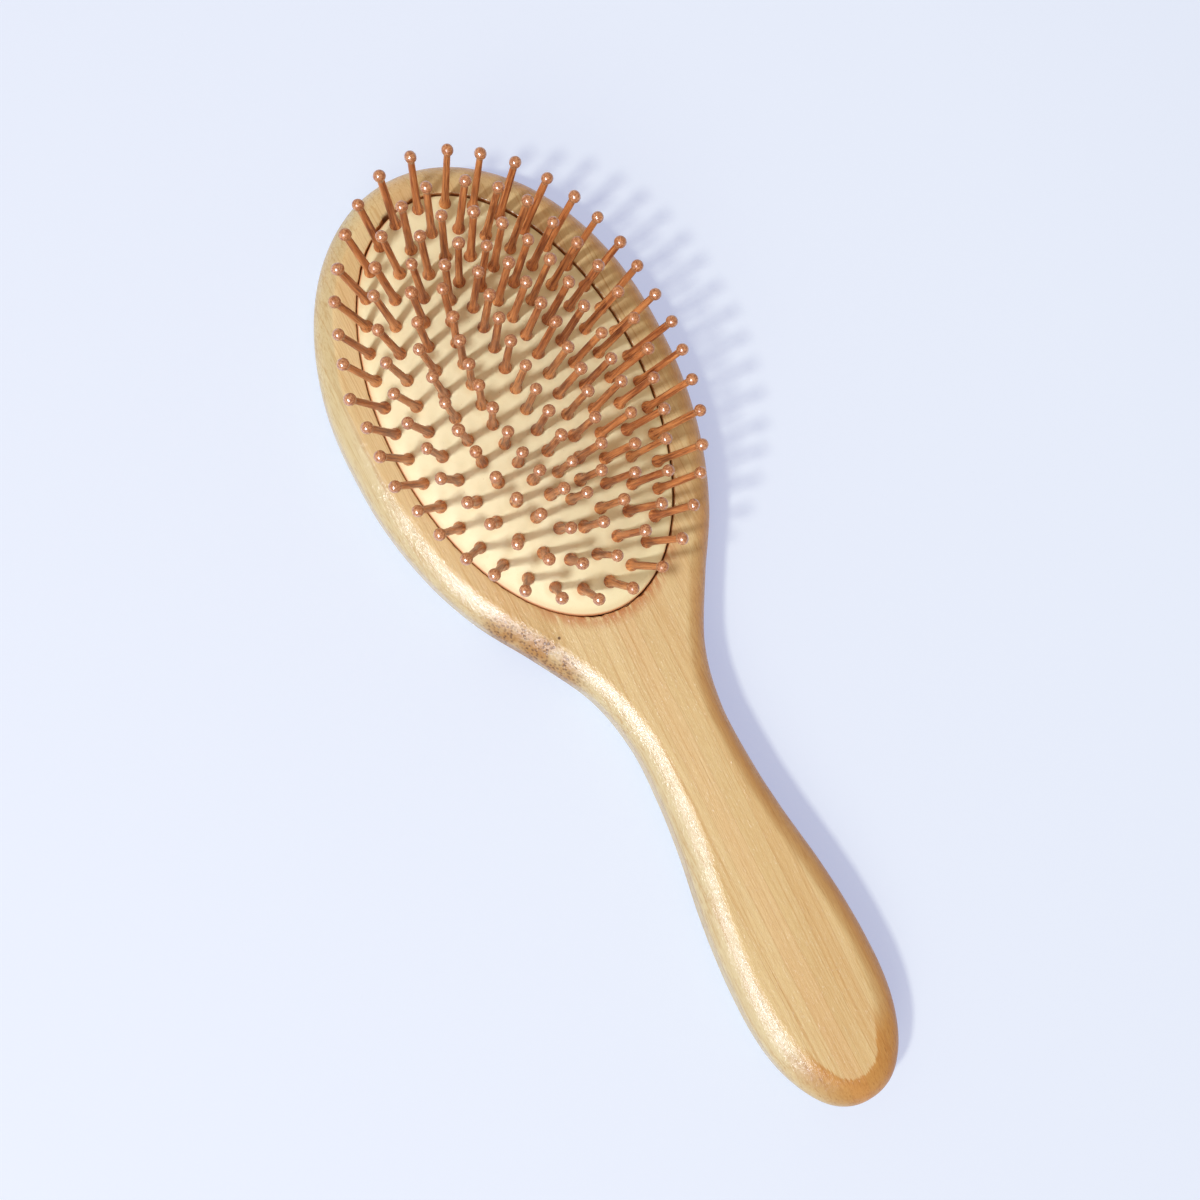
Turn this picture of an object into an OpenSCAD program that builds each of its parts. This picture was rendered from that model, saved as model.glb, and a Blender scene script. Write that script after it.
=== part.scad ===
// Paddle brush: an oval bamboo head and grip, an air-filled rubber cushion
// held in a groove, and ball-tipped bamboo pins set in four ovals and a centre row.
// Millimetres. The brush lies on its flat back, pins up (+Z). +Y points from
// the grip to the head's tip. The origin is on the back face, under the
// middle of the cushion.

/* [Body] */
// Overall length, from the tip of the head to the end of the grip
brush_len = 250; // [240:1:262]
// Width of the head at its widest
head_w = 84; // [80:0.5:90]
// Distance from the cushion's middle to the tip of the head
tip_y = 63.6; // [63:0.2:68]
// Distance from the cushion's middle to the widest place of the head
wide_y = 5.4; // [2:0.2:9]
// Width of the shoulder, where the head starts to narrow
shoulder_w = 75.4; // [72:0.2:77]
// Width of the flank, half way down to the neck
flank_w = 46; // [42:0.5:50]
// Width of the throat, just above the neck
throat_w = 30.3; // [28:0.1:34]
// Width of the neck at its narrowest
neck_w = 23.9; // [20:0.1:28]
// Width of the grip where it begins to swell
grip_w = 27; // [25:0.5:31]
// Width of the grip at its widest
swell_w = 35; // [32:0.5:40]
// Thickness of one ply; the board is three plies
ply_t = 5.3; // [5:0.1:6]
// How far the rounded edge reaches in over the front and back faces
edge_w = 5.6; // [4:0.1:6.5]
// Squareness of the grip's end: 2 is an ellipse
end_power = 2.25; // [2:0.05:2.6]

/* [Recess] */
// Width of the oval opening in the front ply
open_w = 64.8; // [63.6:0.2:67]
// Length of the oval opening in the front ply
open_l = 110.6; // [109.4:0.2:112]
// Undercut of the groove in the core ply, all round
groove_d = 2.2; // [1.8:0.1:3]

/* [Cushion] */
// Gap between the cushion's skirt and the opening
skirt_gap = 0.35; // [0.2:0.05:0.6]
// Rubber thickness
rubber_t = 1.5; // [1.2:0.1:1.8]
// Height of the dome above its edge
crown_h = 6.8; // [5.5:0.1:8]
// How far the dome's edge sits below the front face
edge_drop = 0.6; // [0.3:0.1:1.2]
// Thickness of the flange in the groove
flange_t = 1.6; // [1.2:0.1:2]

/* [Pins] */
// Diameter of the ball on a pin's tip
ball_d = 2.9; // [2.4:0.1:3.2]
// Height of the ball's middle above the rubber
pin_h = 19.6; // [16:0.1:21]
// Diameter of the stem under the ball
stem_tip_d = 1.5; // [1.2:0.05:1.7]
// Diameter of the stem above the collar
stem_base_d = 1.8; // [1.6:0.05:2.3]
// Diameter of the flared collar that rests on the rubber
collar_d = 3.1; // [2.7:0.1:3.3]
// Height of the collar's flare
collar_h = 2.8; // [2:0.1:3.6]
// Diameter of the neck that passes through the rubber
pin_neck_d = 1.7; // [1.4:0.05:1.8]
// Diameter of the barbed foot under the rubber
foot_d = 2.5; // [2.1:0.05:2.6]
// Length of the foot
foot_l = 1.9; // [1.4:0.1:2.2]
// Clearance between a pin and the rubber
pin_clear = 0.03; // [0.02:0.01:0.05]

/* [Pin layout] */
// Number of pins in the outer ring, a multiple of 2
outer_n = 38; // [34:2:38]
// Number of pins in the second ring, a multiple of 2
second_n = 32; // [28:2:32]
// Number of pins in the third ring, a multiple of 4
third_n = 28; // [24:4:28]
// Number of pins in the fourth ring, a multiple of 4
fourth_n = 24; // [20:4:24]
// Number of pins in the centre row, a multiple of 3
row_n = 9; // [6:3:9]
// Half-width of the outer ring
outer_half_w = 29.6; // [28:0.1:29.8]
// Half-length of the outer ring
outer_half_l = 50.4; // [48:0.1:50.5]
// Half-width of the fourth ring
fourth_half_w = 8.9; // [8:0.1:9.5]
// Half-length of the centre row
row_half = 22; // [20:0.5:23]
// How far the pin field sits towards the tip of the head
field_y = 2; // [0:0.1:2.1]

/* [Hidden] */
// Levels of the board, from its back face up
core_z = ply_t;
front_z = 2 * ply_t;
body_t = 3 * ply_t;
overcut = 1;                        // how far a cut runs past the face it opens

// Opening, and the flange in its groove
open_half_w = open_w / 2;
open_half_l = open_l / 2;
flange_gap = 0.05;                  // above and below the flange
flange_side_gap = 0.4;              // round the flange
flange_top = front_z - flange_gap;
flange_z = flange_top - flange_t;

// Dome: the cap of an ellipsoid, cut where its reach is cap_share of the ellipsoid's
cushion_half_w = open_half_w - skirt_gap;
cushion_half_l = open_half_l - skirt_gap;
crown_z = body_t - edge_drop + crown_h;
cap_share = 0.6;
dome_rx = cushion_half_w / cap_share;
dome_ry = cushion_half_l / cap_share;
dome_rz = crown_h / (1 - sqrt(1 - cap_share * cap_share));
dome_mid_z = crown_z - dome_rz;

// Smoothness
oval_fn = 128;
pin_fn = 32;
ball_fn = 48;
tip_steps = 22;                     // head's rounded end
span_steps = 4;                     // between two stations
end_steps = 22;                     // grip's rounded end
round_steps = 8;                    // rounded edge of a ply

// ---- Outline ----

end_len = 31.8;                     // length of the grip's rounded end
swell_y = tip_y - brush_len + end_len;  // widest place of the grip
tip_len = tip_y - wide_y;           // length of the head's rounded end

// Widths between the widest place of the head and the widest place of the grip:
// [share of the way from the first to the second, half-width]
shares = [
    [0, head_w / 2],
    [0.107, head_w / 2 - 0.7],
    [0.213, shoulder_w / 2],
    [0.303, (0.58 * shoulder_w + 0.42 * flank_w) / 2 + 0.4],
    [0.394, flank_w / 2],
    [0.485, throat_w / 2],
    [0.576, neck_w / 2],
    [0.666, neck_w / 2 + 0.1],
    [0.757, grip_w / 2],
    [0.848, (grip_w + swell_w) / 4 + 0.3],
    [0.924, swell_w / 2 - 0.45],
    [1, swell_w / 2]
];
// The same stations as [y, half-width]
stations = [for (s = shares) [wide_y + s[0] * (swell_y - wide_y), s[1]]];
last_station = len(stations) - 1;

// Slope at each station: zero at both ends, a finite difference in between.
slopes = [for (i = [0:last_station])
    let (before = stations[i - 1], after = stations[i + 1])
    i == 0 || i == last_station ? 0 : (after[1] - before[1]) / (after[0] - before[0])];

// Half-width on the cubic from station i to the next, at share t of the way.
function span_half_w(i, t) =
    let (span = stations[i + 1][0] - stations[i][0])
    (1 - 3 * t * t + 2 * t * t * t) * stations[i][1]
    + (t - 2 * t * t + t * t * t) * span * slopes[i]
    + (3 * t * t - 2 * t * t * t) * stations[i + 1][1]
    + (t * t * t - t * t) * span * slopes[i + 1];

// The +X side of the outline, from the head's tip to the grip's end: [half-width, y].
side = concat(
    [for (i = [0:tip_steps - 1])
        let (angle = 90 * i / tip_steps)
        [head_w / 2 * sin(angle), wide_y + tip_len * cos(angle)]],
    [for (i = [0:last_station - 1], k = [0:span_steps - 1])
        let (t = k / span_steps, y = stations[i][0])
        [span_half_w(i, t), y + t * (stations[i + 1][0] - y)]],
    [for (i = [0:end_steps])
        let (angle = 90 * i / end_steps)
        [swell_w / 2 * pow(max(cos(angle), 0), 2 / end_power),
         swell_y - end_len * pow(sin(angle), 2 / end_power)]]
);
side_n = len(side);
outline_n = 2 * (side_n - 1);

// Outward normal at point i of the side.
function side_normal(i) =
    i == 0 ? [0, 1] :
    i == side_n - 1 ? [0, -1] :
    let (along = side[i + 1] - side[i - 1], length = norm(along))
    [-along[1] / length, along[0] / length];
normals = [for (i = [0:side_n - 1]) side_normal(i)];

// The side moved in by inset along its normals, its ends kept on the Y axis.
function side_in(inset) = [for (i = [0:side_n - 1])
    let (p = side[i] - inset * normals[i])
    i == 0 || i == side_n - 1 ? [0, p[1]] : p];

// The whole outline moved in by inset, clockwise from the tip.
function outline(inset) =
    let (half = side_in(inset))
    concat(half, [for (i = [side_n - 2:-1:1]) [-half[i][0], half[i][1]]]);

// ---- Pin places ----

// Rings from the outside in; the last is the centre row.
ring_names = [
    "outer_ring_pins", "second_ring_pins", "third_ring_pins", "fourth_ring_pins",
    "centre_row_pins"
];
ring_counts = [outer_n, second_n, third_n, fourth_n, row_n];
pins_per_node = [2, 2, 4, 4, 3];
row = len(ring_names) - 1;
inner_ring = row - 1;

// Half-widths step evenly to the fourth ring, half-lengths to the centre row.
function ring_half_w(ring) =
    fourth_half_w + (inner_ring - ring) * (outer_half_w - fourth_half_w) / inner_ring;
function ring_half_l(ring) = row_half + (row - ring) * (outer_half_l - row_half) / row;

// Point of an oval at an angle from its +Y end, going clockwise.
function oval_point(half_w, half_l, angle) =
    [half_w * sin(angle), field_y + half_l * cos(angle)];

// Running length along half an oval, at every oval_step degrees.
oval_step = 2;
function running_lengths(half_w, half_l) =
    [for (i = 0, s = 0; i <= 180 / oval_step; i = i + 1,
        s = s + norm(oval_point(half_w, half_l, i * oval_step)
            - oval_point(half_w, half_l, (i - 1) * oval_step))) s];

// Angle at which the running length reaches s.
function angle_at(lengths, s) =
    let (
        k = max([for (i = [0:len(lengths) - 2]) if (lengths[i] <= s) i]),
        part = (s - lengths[k]) / (lengths[k + 1] - lengths[k])
    )
    oval_step * (k + part);

// Pins stand at equal distances along half an oval, and the other half mirrors it.
function oval_pins(half_w, half_l, count) =
    let (
        lengths = running_lengths(half_w, half_l),
        total = lengths[len(lengths) - 1],
        last = count / 2,
        half = [for (i = [0:last])
            let (angle = i == 0 ? 0 : i == last ? 180 :
                angle_at(lengths, total * 2 * i / count))
            oval_point(half_w, half_l, angle)]
    )
    concat(half, [for (i = [last - 1:-1:1]) [-half[i][0], half[i][1]]]);

row_pins = [for (i = [0:row_n - 1]) [0, field_y + row_half - 2 * row_half * i / (row_n - 1)]];
pin_places = concat(
    [for (ring = [0:inner_ring])
        oval_pins(ring_half_w(ring), ring_half_l(ring), ring_counts[ring])],
    [row_pins]
);

// ---- Nodes ----

function two_digits(n) = n < 10 ? str("0", n) : str(n);
function group_name(ring, group) = str(ring_names[ring], "_", two_digits(group + 1));

// Every group of pins: [ring, group]
PIN_GROUPS = [for (ring = [0:row], group = [0:ring_counts[ring] / pins_per_node[ring] - 1])
    [ring, group]];

// ---- Shapes ----

module ellipse(half_w, half_l) {
    scale([half_w, half_l, 1]) circle(r = 1, $fn = oval_fn);
}

module oval_block(half_w, half_l, z0, z1) {
    translate([0, 0, z0]) linear_extrude(height = z1 - z0) ellipse(half_w, half_l);
}

// The dome's ellipsoid, its poles on the X axis so that the crown is smooth.
module dome_ellipsoid(z) {
    translate([0, 0, z])
        scale([dome_rx, dome_ry, dome_rz])
            rotate([0, 90, 0])
                sphere(r = 1, $fn = oval_fn);
}

// Height of the rubber's outer face at p, and its unit normal.
function dome_z(p) =
    dome_mid_z + dome_rz * sqrt(1 - pow(p[0] / dome_rx, 2) - pow(p[1] / dome_ry, 2));
function dome_normal(p) =
    let (v = [
        p[0] / (dome_rx * dome_rx),
        p[1] / (dome_ry * dome_ry),
        (dome_z(p) - dome_mid_z) / (dome_rz * dome_rz)
    ])
    v / norm(v);

// Puts its children on the dome at p, with their +Z along the normal.
module on_dome(p) {
    n = dome_normal(p);
    translate([p[0], p[1], dome_z(p)])
        rotate([0, acos(n[2]), atan2(n[1], n[0])])
            children();
}

// A ply with one rounded edge: its top if round_top, otherwise its bottom.
module rounded_ply(round_top) {
    // Outlines stacked from the bottom up
    levels = [for (k = [0:round_steps])
        let (
            angle = 90 * (round_top ? k : round_steps - k) / round_steps,
            inset = edge_w * (1 - cos(angle)),
            z = round_top ? ply_t * sin(angle) : ply_t * (1 - sin(angle))
        )
        [for (p = outline(inset)) [p[0], p[1], z]]];
    points = [for (level = levels, p = level) p];
    walls = [for (k = [0:round_steps - 1], i = [0:outline_n - 1])
        let (j = (i + 1) % outline_n, low = k * outline_n, high = low + outline_n)
        [low + i, low + j, high + j, high + i]];

    // Each cap is a ladder of strips from one side to the other.
    function rung(base, i) = [base + i, base + (outline_n - i) % outline_n];
    function strip(u, v, i) =
        i == 0 ? [u[0], v[0], v[1]] :
        i == side_n - 2 ? [u[0], v[0], u[1]] :
        [u[0], v[0], v[1], u[1]];
    function cap(base, top) = [for (i = [0:side_n - 2])
        let (face = strip(rung(base, i), rung(base, i + 1), i))
        top ? face : [for (q = [len(face) - 1:-1:0]) face[q]]];

    polyhedron(
        points = points,
        faces = concat(walls, cap(0, false), cap(round_steps * outline_n, true)),
        convexity = 6
    );
}

// ---- Pieces ----

module back_ply() {
    color([0.87, 0.73, 0.50]) rounded_ply(round_top = false);
}

module core_ply() {
    color([0.83, 0.66, 0.42])
        difference() {
            translate([0, 0, core_z]) linear_extrude(height = ply_t) polygon(outline(0));
            oval_block(open_half_w, open_half_l, core_z - overcut, front_z + overcut);
            // Groove for the flange
            oval_block(open_half_w + groove_d, open_half_l + groove_d,
                flange_z - flange_gap, front_z + overcut);
        }
}

module front_ply() {
    color([0.89, 0.76, 0.54])
        difference() {
            translate([0, 0, front_z]) rounded_ply(round_top = true);
            oval_block(open_half_w, open_half_l, front_z - overcut, body_t + overcut);
        }
}

module rubber_cushion() {
    flange_reach = groove_d - flange_side_gap;
    hole_in = 3;                    // reach of a pin hole below the outer face
    hole_out = 1.5;                 // and above it
    color([0.95, 0.89, 0.72])
        difference() {
            union() {
                // Dome and skirt
                intersection() {
                    dome_ellipsoid(dome_mid_z);
                    oval_block(cushion_half_w, cushion_half_l, flange_z, crown_z + overcut);
                }
                oval_block(open_half_w + flange_reach, open_half_l + flange_reach,
                    flange_z, flange_top);
            }
            // Air space
            intersection() {
                dome_ellipsoid(dome_mid_z - rubber_t);
                oval_block(cushion_half_w - rubber_t, cushion_half_l - rubber_t,
                    flange_z - overcut, crown_z);
            }
            for (places = pin_places, p = places)
                on_dome(p)
                    translate([0, 0, -hole_in])
                        cylinder(d = pin_neck_d + 2 * pin_clear, h = hole_in + hole_out,
                            $fn = pin_fn);
        }
}

// A turned pin, its axis on Z, with the rubber's outer face at Z = 0.
module pin() {
    seat = pin_clear + 0.02;        // collar's underside
    foot_top = -rubber_t - seat;
    foot_r = foot_d / 2;
    neck_r = pin_neck_d / 2;
    collar_r = collar_d / 2;
    stem_r = stem_base_d / 2;
    stem_top = pin_h - ball_d / 2 * 0.8;  // inside the ball
    // [radius, z], from the foot up
    profile = [
        // Foot
        [0, foot_top - foot_l], [foot_r * 0.45, foot_top - foot_l],
        [foot_r, foot_top - 0.3], [foot_r, foot_top],
        // Neck
        [neck_r, foot_top], [neck_r, seat],
        // Collar and its flare
        [collar_r * 0.93, seat], [collar_r, seat + 0.35], [collar_r * 0.94, seat + 0.8],
        [(collar_r + stem_r) / 2, collar_h * 0.6], [stem_r * 1.08, collar_h],
        // Stem
        [stem_r, collar_h + 1], [stem_tip_d / 2, stem_top], [0, stem_top]
    ];
    union() {
        rotate_extrude($fn = pin_fn) polygon(profile);
        translate([0, 0, pin_h]) sphere(d = ball_d, $fn = ball_fn);
    }
}

// The pins of one group: neighbours on a ring.
module pin_group(ring, group) {
    count = pins_per_node[ring];
    first = group * count;
    color([0.76, 0.50, 0.32])
        for (i = [first:first + count - 1])
            on_dome(pin_places[ring][i]) pin();
}

back_ply();
core_ply();
front_ply();
rubber_cushion();
for (p = PIN_GROUPS)
    pin_group(p[0], p[1]);
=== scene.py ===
"""Bamboo paddle brush: three glued plies, a domed rubber cushion and 131 ball-tipped wooden pins.

It lies on its back. X runs across and Y along, with the head's tip at +Y and the grip's end at -Y.
Z points up along the pins, and the back ply's flat face is at Z = 0. Sizes are in mm unless
noted; meshes are scaled to metres as they are made.
"""
import math
from types import SimpleNamespace

import bpy
import numpy as np
from mathutils import Matrix, Vector
from mathutils.geometry import delaunay_2d_cdt


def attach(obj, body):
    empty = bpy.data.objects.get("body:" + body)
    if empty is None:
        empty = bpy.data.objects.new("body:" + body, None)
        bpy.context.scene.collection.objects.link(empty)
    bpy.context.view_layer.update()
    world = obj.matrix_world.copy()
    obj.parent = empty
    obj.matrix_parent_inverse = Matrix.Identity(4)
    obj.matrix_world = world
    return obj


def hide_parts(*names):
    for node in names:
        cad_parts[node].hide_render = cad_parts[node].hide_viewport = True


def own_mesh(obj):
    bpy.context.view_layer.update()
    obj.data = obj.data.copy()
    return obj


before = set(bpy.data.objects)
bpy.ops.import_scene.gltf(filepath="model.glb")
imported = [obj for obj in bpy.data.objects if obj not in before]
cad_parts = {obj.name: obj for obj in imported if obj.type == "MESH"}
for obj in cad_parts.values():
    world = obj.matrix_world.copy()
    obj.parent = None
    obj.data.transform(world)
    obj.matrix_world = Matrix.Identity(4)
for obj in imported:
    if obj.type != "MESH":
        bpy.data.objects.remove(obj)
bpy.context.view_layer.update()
MM = 0.001

# ---------------------------------------------------------------- driving sizes
LENGTH = 250.0
TIP_Y, WIDE_Y = 63.6, 5.4            # head's tip, and where the head is widest
HEAD_W, SHOULDER_W, FLANK_W = 84.0, 75.4, 46.0
THROAT_W, NECK_W, GRIP_W, SWELL_W = 30.3, 23.9, 27.0, 35.0
GRIP_END_LEN, END_POWER = 31.8, 2.25  # rounded end of the grip and its superellipse power

PLY = 5.3                            # thickness of one ply
BODY_T = 3 * PLY
EDGE_W = 5.2                         # width of the round-over
GLUE_BREAK = 0.10                    # how far a ply's edge is broken back at a glue line
BREAK_H = 0.08                       # height of that break

OPEN_A, OPEN_B = 32.4, 55.3          # half-sizes of the oval opening, X and Y
GROOVE = 2.2                         # how far the flange groove widens the opening

SKIRT_GAP, RUBBER_T = 0.35, 1.5
CROWN_H, EDGE_DROP = 6.8, 0.6        # dome's rise, and its edge below the front face
FLANGE_T = 1.6
FLANGE_TOP = 2 * PLY - 0.05
CUSH_A, CUSH_B = OPEN_A - SKIRT_GAP, OPEN_B - SKIRT_GAP
EDGE_Z = BODY_T - EDGE_DROP
CROWN_Z = EDGE_Z + CROWN_H

# The dome is the cap of an ellipsoid, cut where its radius is CAP_SHARE of the full one.
CAP_SHARE = 0.6
CAP_C = CROWN_H / (1 - math.sqrt(1 - CAP_SHARE ** 2))
CAP_A, CAP_B = CUSH_A / CAP_SHARE, CUSH_B / CAP_SHARE
CAP_Z = CROWN_Z - CAP_C

PIN_H = 19.6                         # height of the ball's centre above the rubber
BALL_D, STEM_TIP, STEM_BASE, COLLAR_D = 2.9, 1.62, 1.9, 3.1
FIELD_Y = 2.0                        # centre of the pin field
# half-size in X, half-size in Y, pins, pins per piece, name; the last is a straight row
RINGS = [
    (29.6, 50.4, 38, 2, "outer_ring_pins"),
    (22.7, 43.3, 32, 2, "second_ring_pins"),
    (15.8, 36.2, 28, 4, "third_ring_pins"),
    (8.9, 29.1, 24, 4, "fourth_ring_pins"),
    (0.0, 22.0, 9, 3, "centre_row_pins"),
]


# ---------------------------------------------------------------- plane curves
def distance_along(points):
    steps = np.linalg.norm(np.diff(points, axis=0), axis=1)
    return np.concatenate([[0], np.cumsum(steps)])


def evenly(closed, count):
    """Evenly spaced points along a curve whose last point meets its first."""
    along = distance_along(closed)
    at = np.linspace(0, along[-1], count, endpoint=False)
    return np.column_stack([np.interp(at, along, closed[:, 0]), np.interp(at, along, closed[:, 1])])


def ellipse_loop(a, b, count):
    """Clockwise from +Y."""
    t = np.linspace(0, 2 * math.pi, 4000)
    return evenly(np.column_stack([a * np.sin(t), b * np.cos(t)]), count)


def unit_rows(vectors):
    return vectors / np.linalg.norm(vectors, axis=1)[:, None]


def inside(polygon, points):
    """Even-odd test of each point."""
    x, y = points[:, 0], points[:, 1]
    result = np.zeros(len(points), bool)
    for (x0, y0), (x1, y1) in zip(polygon, np.roll(polygon, 1, 0)):
        cut_x = (x1 - x0) * (y - y0) / (y1 - y0 + 1e-12) + x0
        result ^= ((y0 > y) != (y1 > y)) & (x < cut_x)
    return result


def grid_inside(outer, hole, pitch, margin):
    """Staggered grid inside a loop and outside a hole, away from both."""
    low, high = outer.min(0), outer.max(0)
    xs = np.arange(low[0], high[0], pitch)
    ys = np.arange(low[1], high[1], pitch * 0.87)
    grid = np.array([(x + (k % 2) * pitch / 2, y) for k, y in enumerate(ys) for x in xs])
    keep = inside(outer, grid)
    rim = outer
    if hole is not None:
        keep &= ~inside(hole, grid)
        rim = np.vstack([outer, hole])
    grid = grid[keep]
    gap = np.array([np.min(np.hypot(rim[:, 0] - x, rim[:, 1] - y)) for x, y in grid])
    return grid[gap > margin]


# ---------------------------------------------------------------- outline of the board
def outline_points(count):
    """The board's outline, clockwise from the head's tip."""
    swell_y = TIP_Y - LENGTH + GRIP_END_LEN
    tip_len = TIP_Y - WIDE_Y
    # share of the way from the widest place to the grip's swell, half-width there
    half_widths = [
        (0, HEAD_W / 2),
        (0.107, HEAD_W / 2 - 0.7),
        (0.213, SHOULDER_W / 2),
        (0.303, (0.58 * SHOULDER_W + 0.42 * FLANK_W) / 2 + 0.4),
        (0.394, FLANK_W / 2),
        (0.485, THROAT_W / 2),
        (0.576, NECK_W / 2),
        (0.666, NECK_W / 2 + 0.1),
        (0.757, GRIP_W / 2),
        (0.848, (GRIP_W + SWELL_W) / 4 + 0.3),
        (0.924, SWELL_W / 2 - 0.45),
        (1, SWELL_W / 2),
    ]
    stations = [(WIDE_Y + share * (swell_y - WIDE_Y), half) for share, half in half_widths]
    inner_slopes = [(w1 - w0) / (y1 - y0) for (y0, w0), (y1, w1) in zip(stations, stations[2:])]
    slopes = [0] + inner_slopes + [0]
    quarter = np.linspace(0, math.pi / 2, 260)

    points = [(HEAD_W / 2 * math.sin(a), WIDE_Y + tip_len * math.cos(a)) for a in quarter[:-1]]
    # cubic Hermite curves between the stations
    for (y0, w0), (y1, w1), slope0, slope1 in zip(stations, stations[1:], slopes, slopes[1:]):
        span = y1 - y0
        for t in np.linspace(0, 1, 40)[:-1]:
            half = ((1 - 3 * t * t + 2 * t ** 3) * w0 + (t - 2 * t * t + t ** 3) * span * slope0
                    + (3 * t * t - 2 * t ** 3) * w1 + (t ** 3 - t * t) * span * slope1)
            points.append((half, y0 + t * span))
    for a in quarter:
        points.append((SWELL_W / 2 * max(math.cos(a), 0) ** (2 / END_POWER),
                       swell_y - GRIP_END_LEN * math.sin(a) ** (2 / END_POWER)))
    side = np.array(points)
    side[-1, 0] = 0
    loop = np.vstack([side, (side * [-1, 1])[-2:0:-1]])
    return evenly(np.vstack([loop, loop[:1]]), count)


def outward_normals(loop):
    """Smoothed outward normals; on a clockwise loop outward is to the left."""
    tangent = np.roll(loop, -1, 0) - np.roll(loop, 1, 0)
    normals = unit_rows(np.column_stack([-tangent[:, 1], tangent[:, 0]]))
    for _ in range(4):
        normals = (np.roll(normals, 1, 0) + 2 * normals + np.roll(normals, -1, 0)) / 4
    return unit_rows(normals)


OUTLINE_COUNT = 640
OUTLINE = outline_points(OUTLINE_COUNT)
OUTLINE_NORMALS = outward_normals(OUTLINE)


def inset(depth):
    """The outline moved in along its normals by one depth or a depth per point."""
    return OUTLINE - OUTLINE_NORMALS * np.atleast_1d(depth)[:, None]


# Hand sanding leaves the edge slightly uneven: (height, waves round the outline, phase).
_angle = np.linspace(0, 2 * math.pi, OUTLINE_COUNT, endpoint=False)
SANDING = sum(height * np.sin(waves * _angle + phase) for height, waves, phase in (
    (0.13, 5, 1.1), (0.09, 11, 0.4), (0.07, 23, 2.2), (0.04, 61, 0.9)))
FRONT_SANDING, BACK_SANDING = 1.6, 1.4

# The front round-over widens by 28 % over 26 mm of the grip's end.
_end = np.clip((-150 - OUTLINE[:, 1]) / 26, 0, 1)
END_WIDENING = 1 + 0.28 * _end ** 2 * (3 - 2 * _end)

# The round-over is an ellipse cut by the flat face before it turns level, so a crease shows.
ROUND_STEPS = 14
ROUND_Z = PLY * 1.10
CUT_ANGLE = math.asin(PLY / ROUND_Z)
ROUND_XY = EDGE_W / (1 - math.cos(CUT_ANGLE))
CREASE_W, CREASE_DROP = 0.45, 0.02


def round_levels():
    """(share of the way, depth, height) from a ply's glue line to its flat face."""
    angles = np.linspace(0, CUT_ANGLE, ROUND_STEPS)
    heights = [ROUND_Z * math.sin(a) for a in angles]
    heights[0] = BREAK_H
    heights[-1] = PLY - CREASE_DROP
    return [(k / (ROUND_STEPS - 1), ROUND_XY * (1 - math.cos(a)), heights[k])
            for k, a in enumerate(angles)]


# ---------------------------------------------------------------- mesh making
def add_attribute(mesh, name, kind, field, values):
    attribute = mesh.attributes.new(name, kind, "POINT")
    attribute.data.foreach_set(field, np.asarray(values, np.float32).ravel())


def add_object(name, mesh):
    ob = bpy.data.objects.new(name, mesh)
    bpy.context.scene.collection.objects.link(ob)
    return ob


class Solid:
    """Collects the loops and faces of one closed mesh, in mm."""

    def __init__(self):
        self.parts = []
        self.faces = []
        self.count = 0

    def loop(self, xy, z):
        """Adds points at one height or a height each, and returns their numbers."""
        self.parts.append(np.column_stack([xy, np.full(len(xy), z)]))
        self.count += len(xy)
        return list(range(self.count - len(xy), self.count))

    def plan(self, loop):
        return np.vstack(self.parts)[loop][:, :2]

    def skin(self, loops, flip=False):
        """Quads between each loop and the next."""
        for a, b in zip(loops[:-1], loops[1:]):
            for i in range(len(a)):
                j = (i + 1) % len(a)
                quad = [a[i], a[j], b[j], b[i]]
                self.faces.append(quad[::-1] if flip else quad)

    def cap(self, outer, inner=(), up=True, extra=None):
        """Fills between level loops; extra points make the triangles even."""
        ids = list(outer) + list(inner)
        flat = self.plan(ids)
        rim, hole = flat[:len(outer)], flat[len(outer):]
        edges = []
        for start, loop in ((0, outer), (len(outer), inner)):
            edges += [(start + i, start + (i + 1) % len(loop)) for i in range(len(loop))]
        if extra is not None:
            ids += self.loop(extra, np.vstack(self.parts)[outer[0], 2])
            flat = np.vstack([flat, extra])
        points = [Vector(p) for p in flat.tolist()]
        found, _, triangles, origins, _, _ = delaunay_2d_cdt(points, edges, [], 0, 1e-6)
        centres = np.array([[sum(found[i][axis] for i in triangle) / 3 for axis in (0, 1)]
                            for triangle in triangles])
        wanted = inside(rim, centres)
        if len(hole):
            wanted &= ~inside(hole, centres)
        for keep, triangle in zip(wanted, triangles):
            if keep:
                face = [ids[origins[i][0]] for i in triangle]
                a, b, c = (found[i] for i in triangle)
                turns_left = (b[0] - a[0]) * (c[1] - a[1]) - (b[1] - a[1]) * (c[0] - a[0]) > 0
                self.faces.append(face if turns_left == up else face[::-1])

    def build(self, name, sharp=40):
        """Makes the object; edges sharper than the angle in degrees stay hard."""
        points = np.vstack(self.parts)
        mesh = bpy.data.meshes.new(name)
        mesh.from_pydata((points * MM).tolist(), [], self.faces)
        mesh.validate()
        mesh.shade_smooth()
        mesh.set_sharp_from_angle(angle=math.radians(sharp))
        mesh.update()
        # distance in plan to the board's outline, in batches to save memory
        gaps = [np.min(np.hypot(batch[:, :1] - OUTLINE[None, :, 0],
                                batch[:, 1:2] - OUTLINE[None, :, 1]), axis=1)
                for batch in np.array_split(points, 24)]
        add_attribute(mesh, "rim_mm", "FLOAT", "value", np.concatenate(gaps))
        return add_object(name, mesh)


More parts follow.
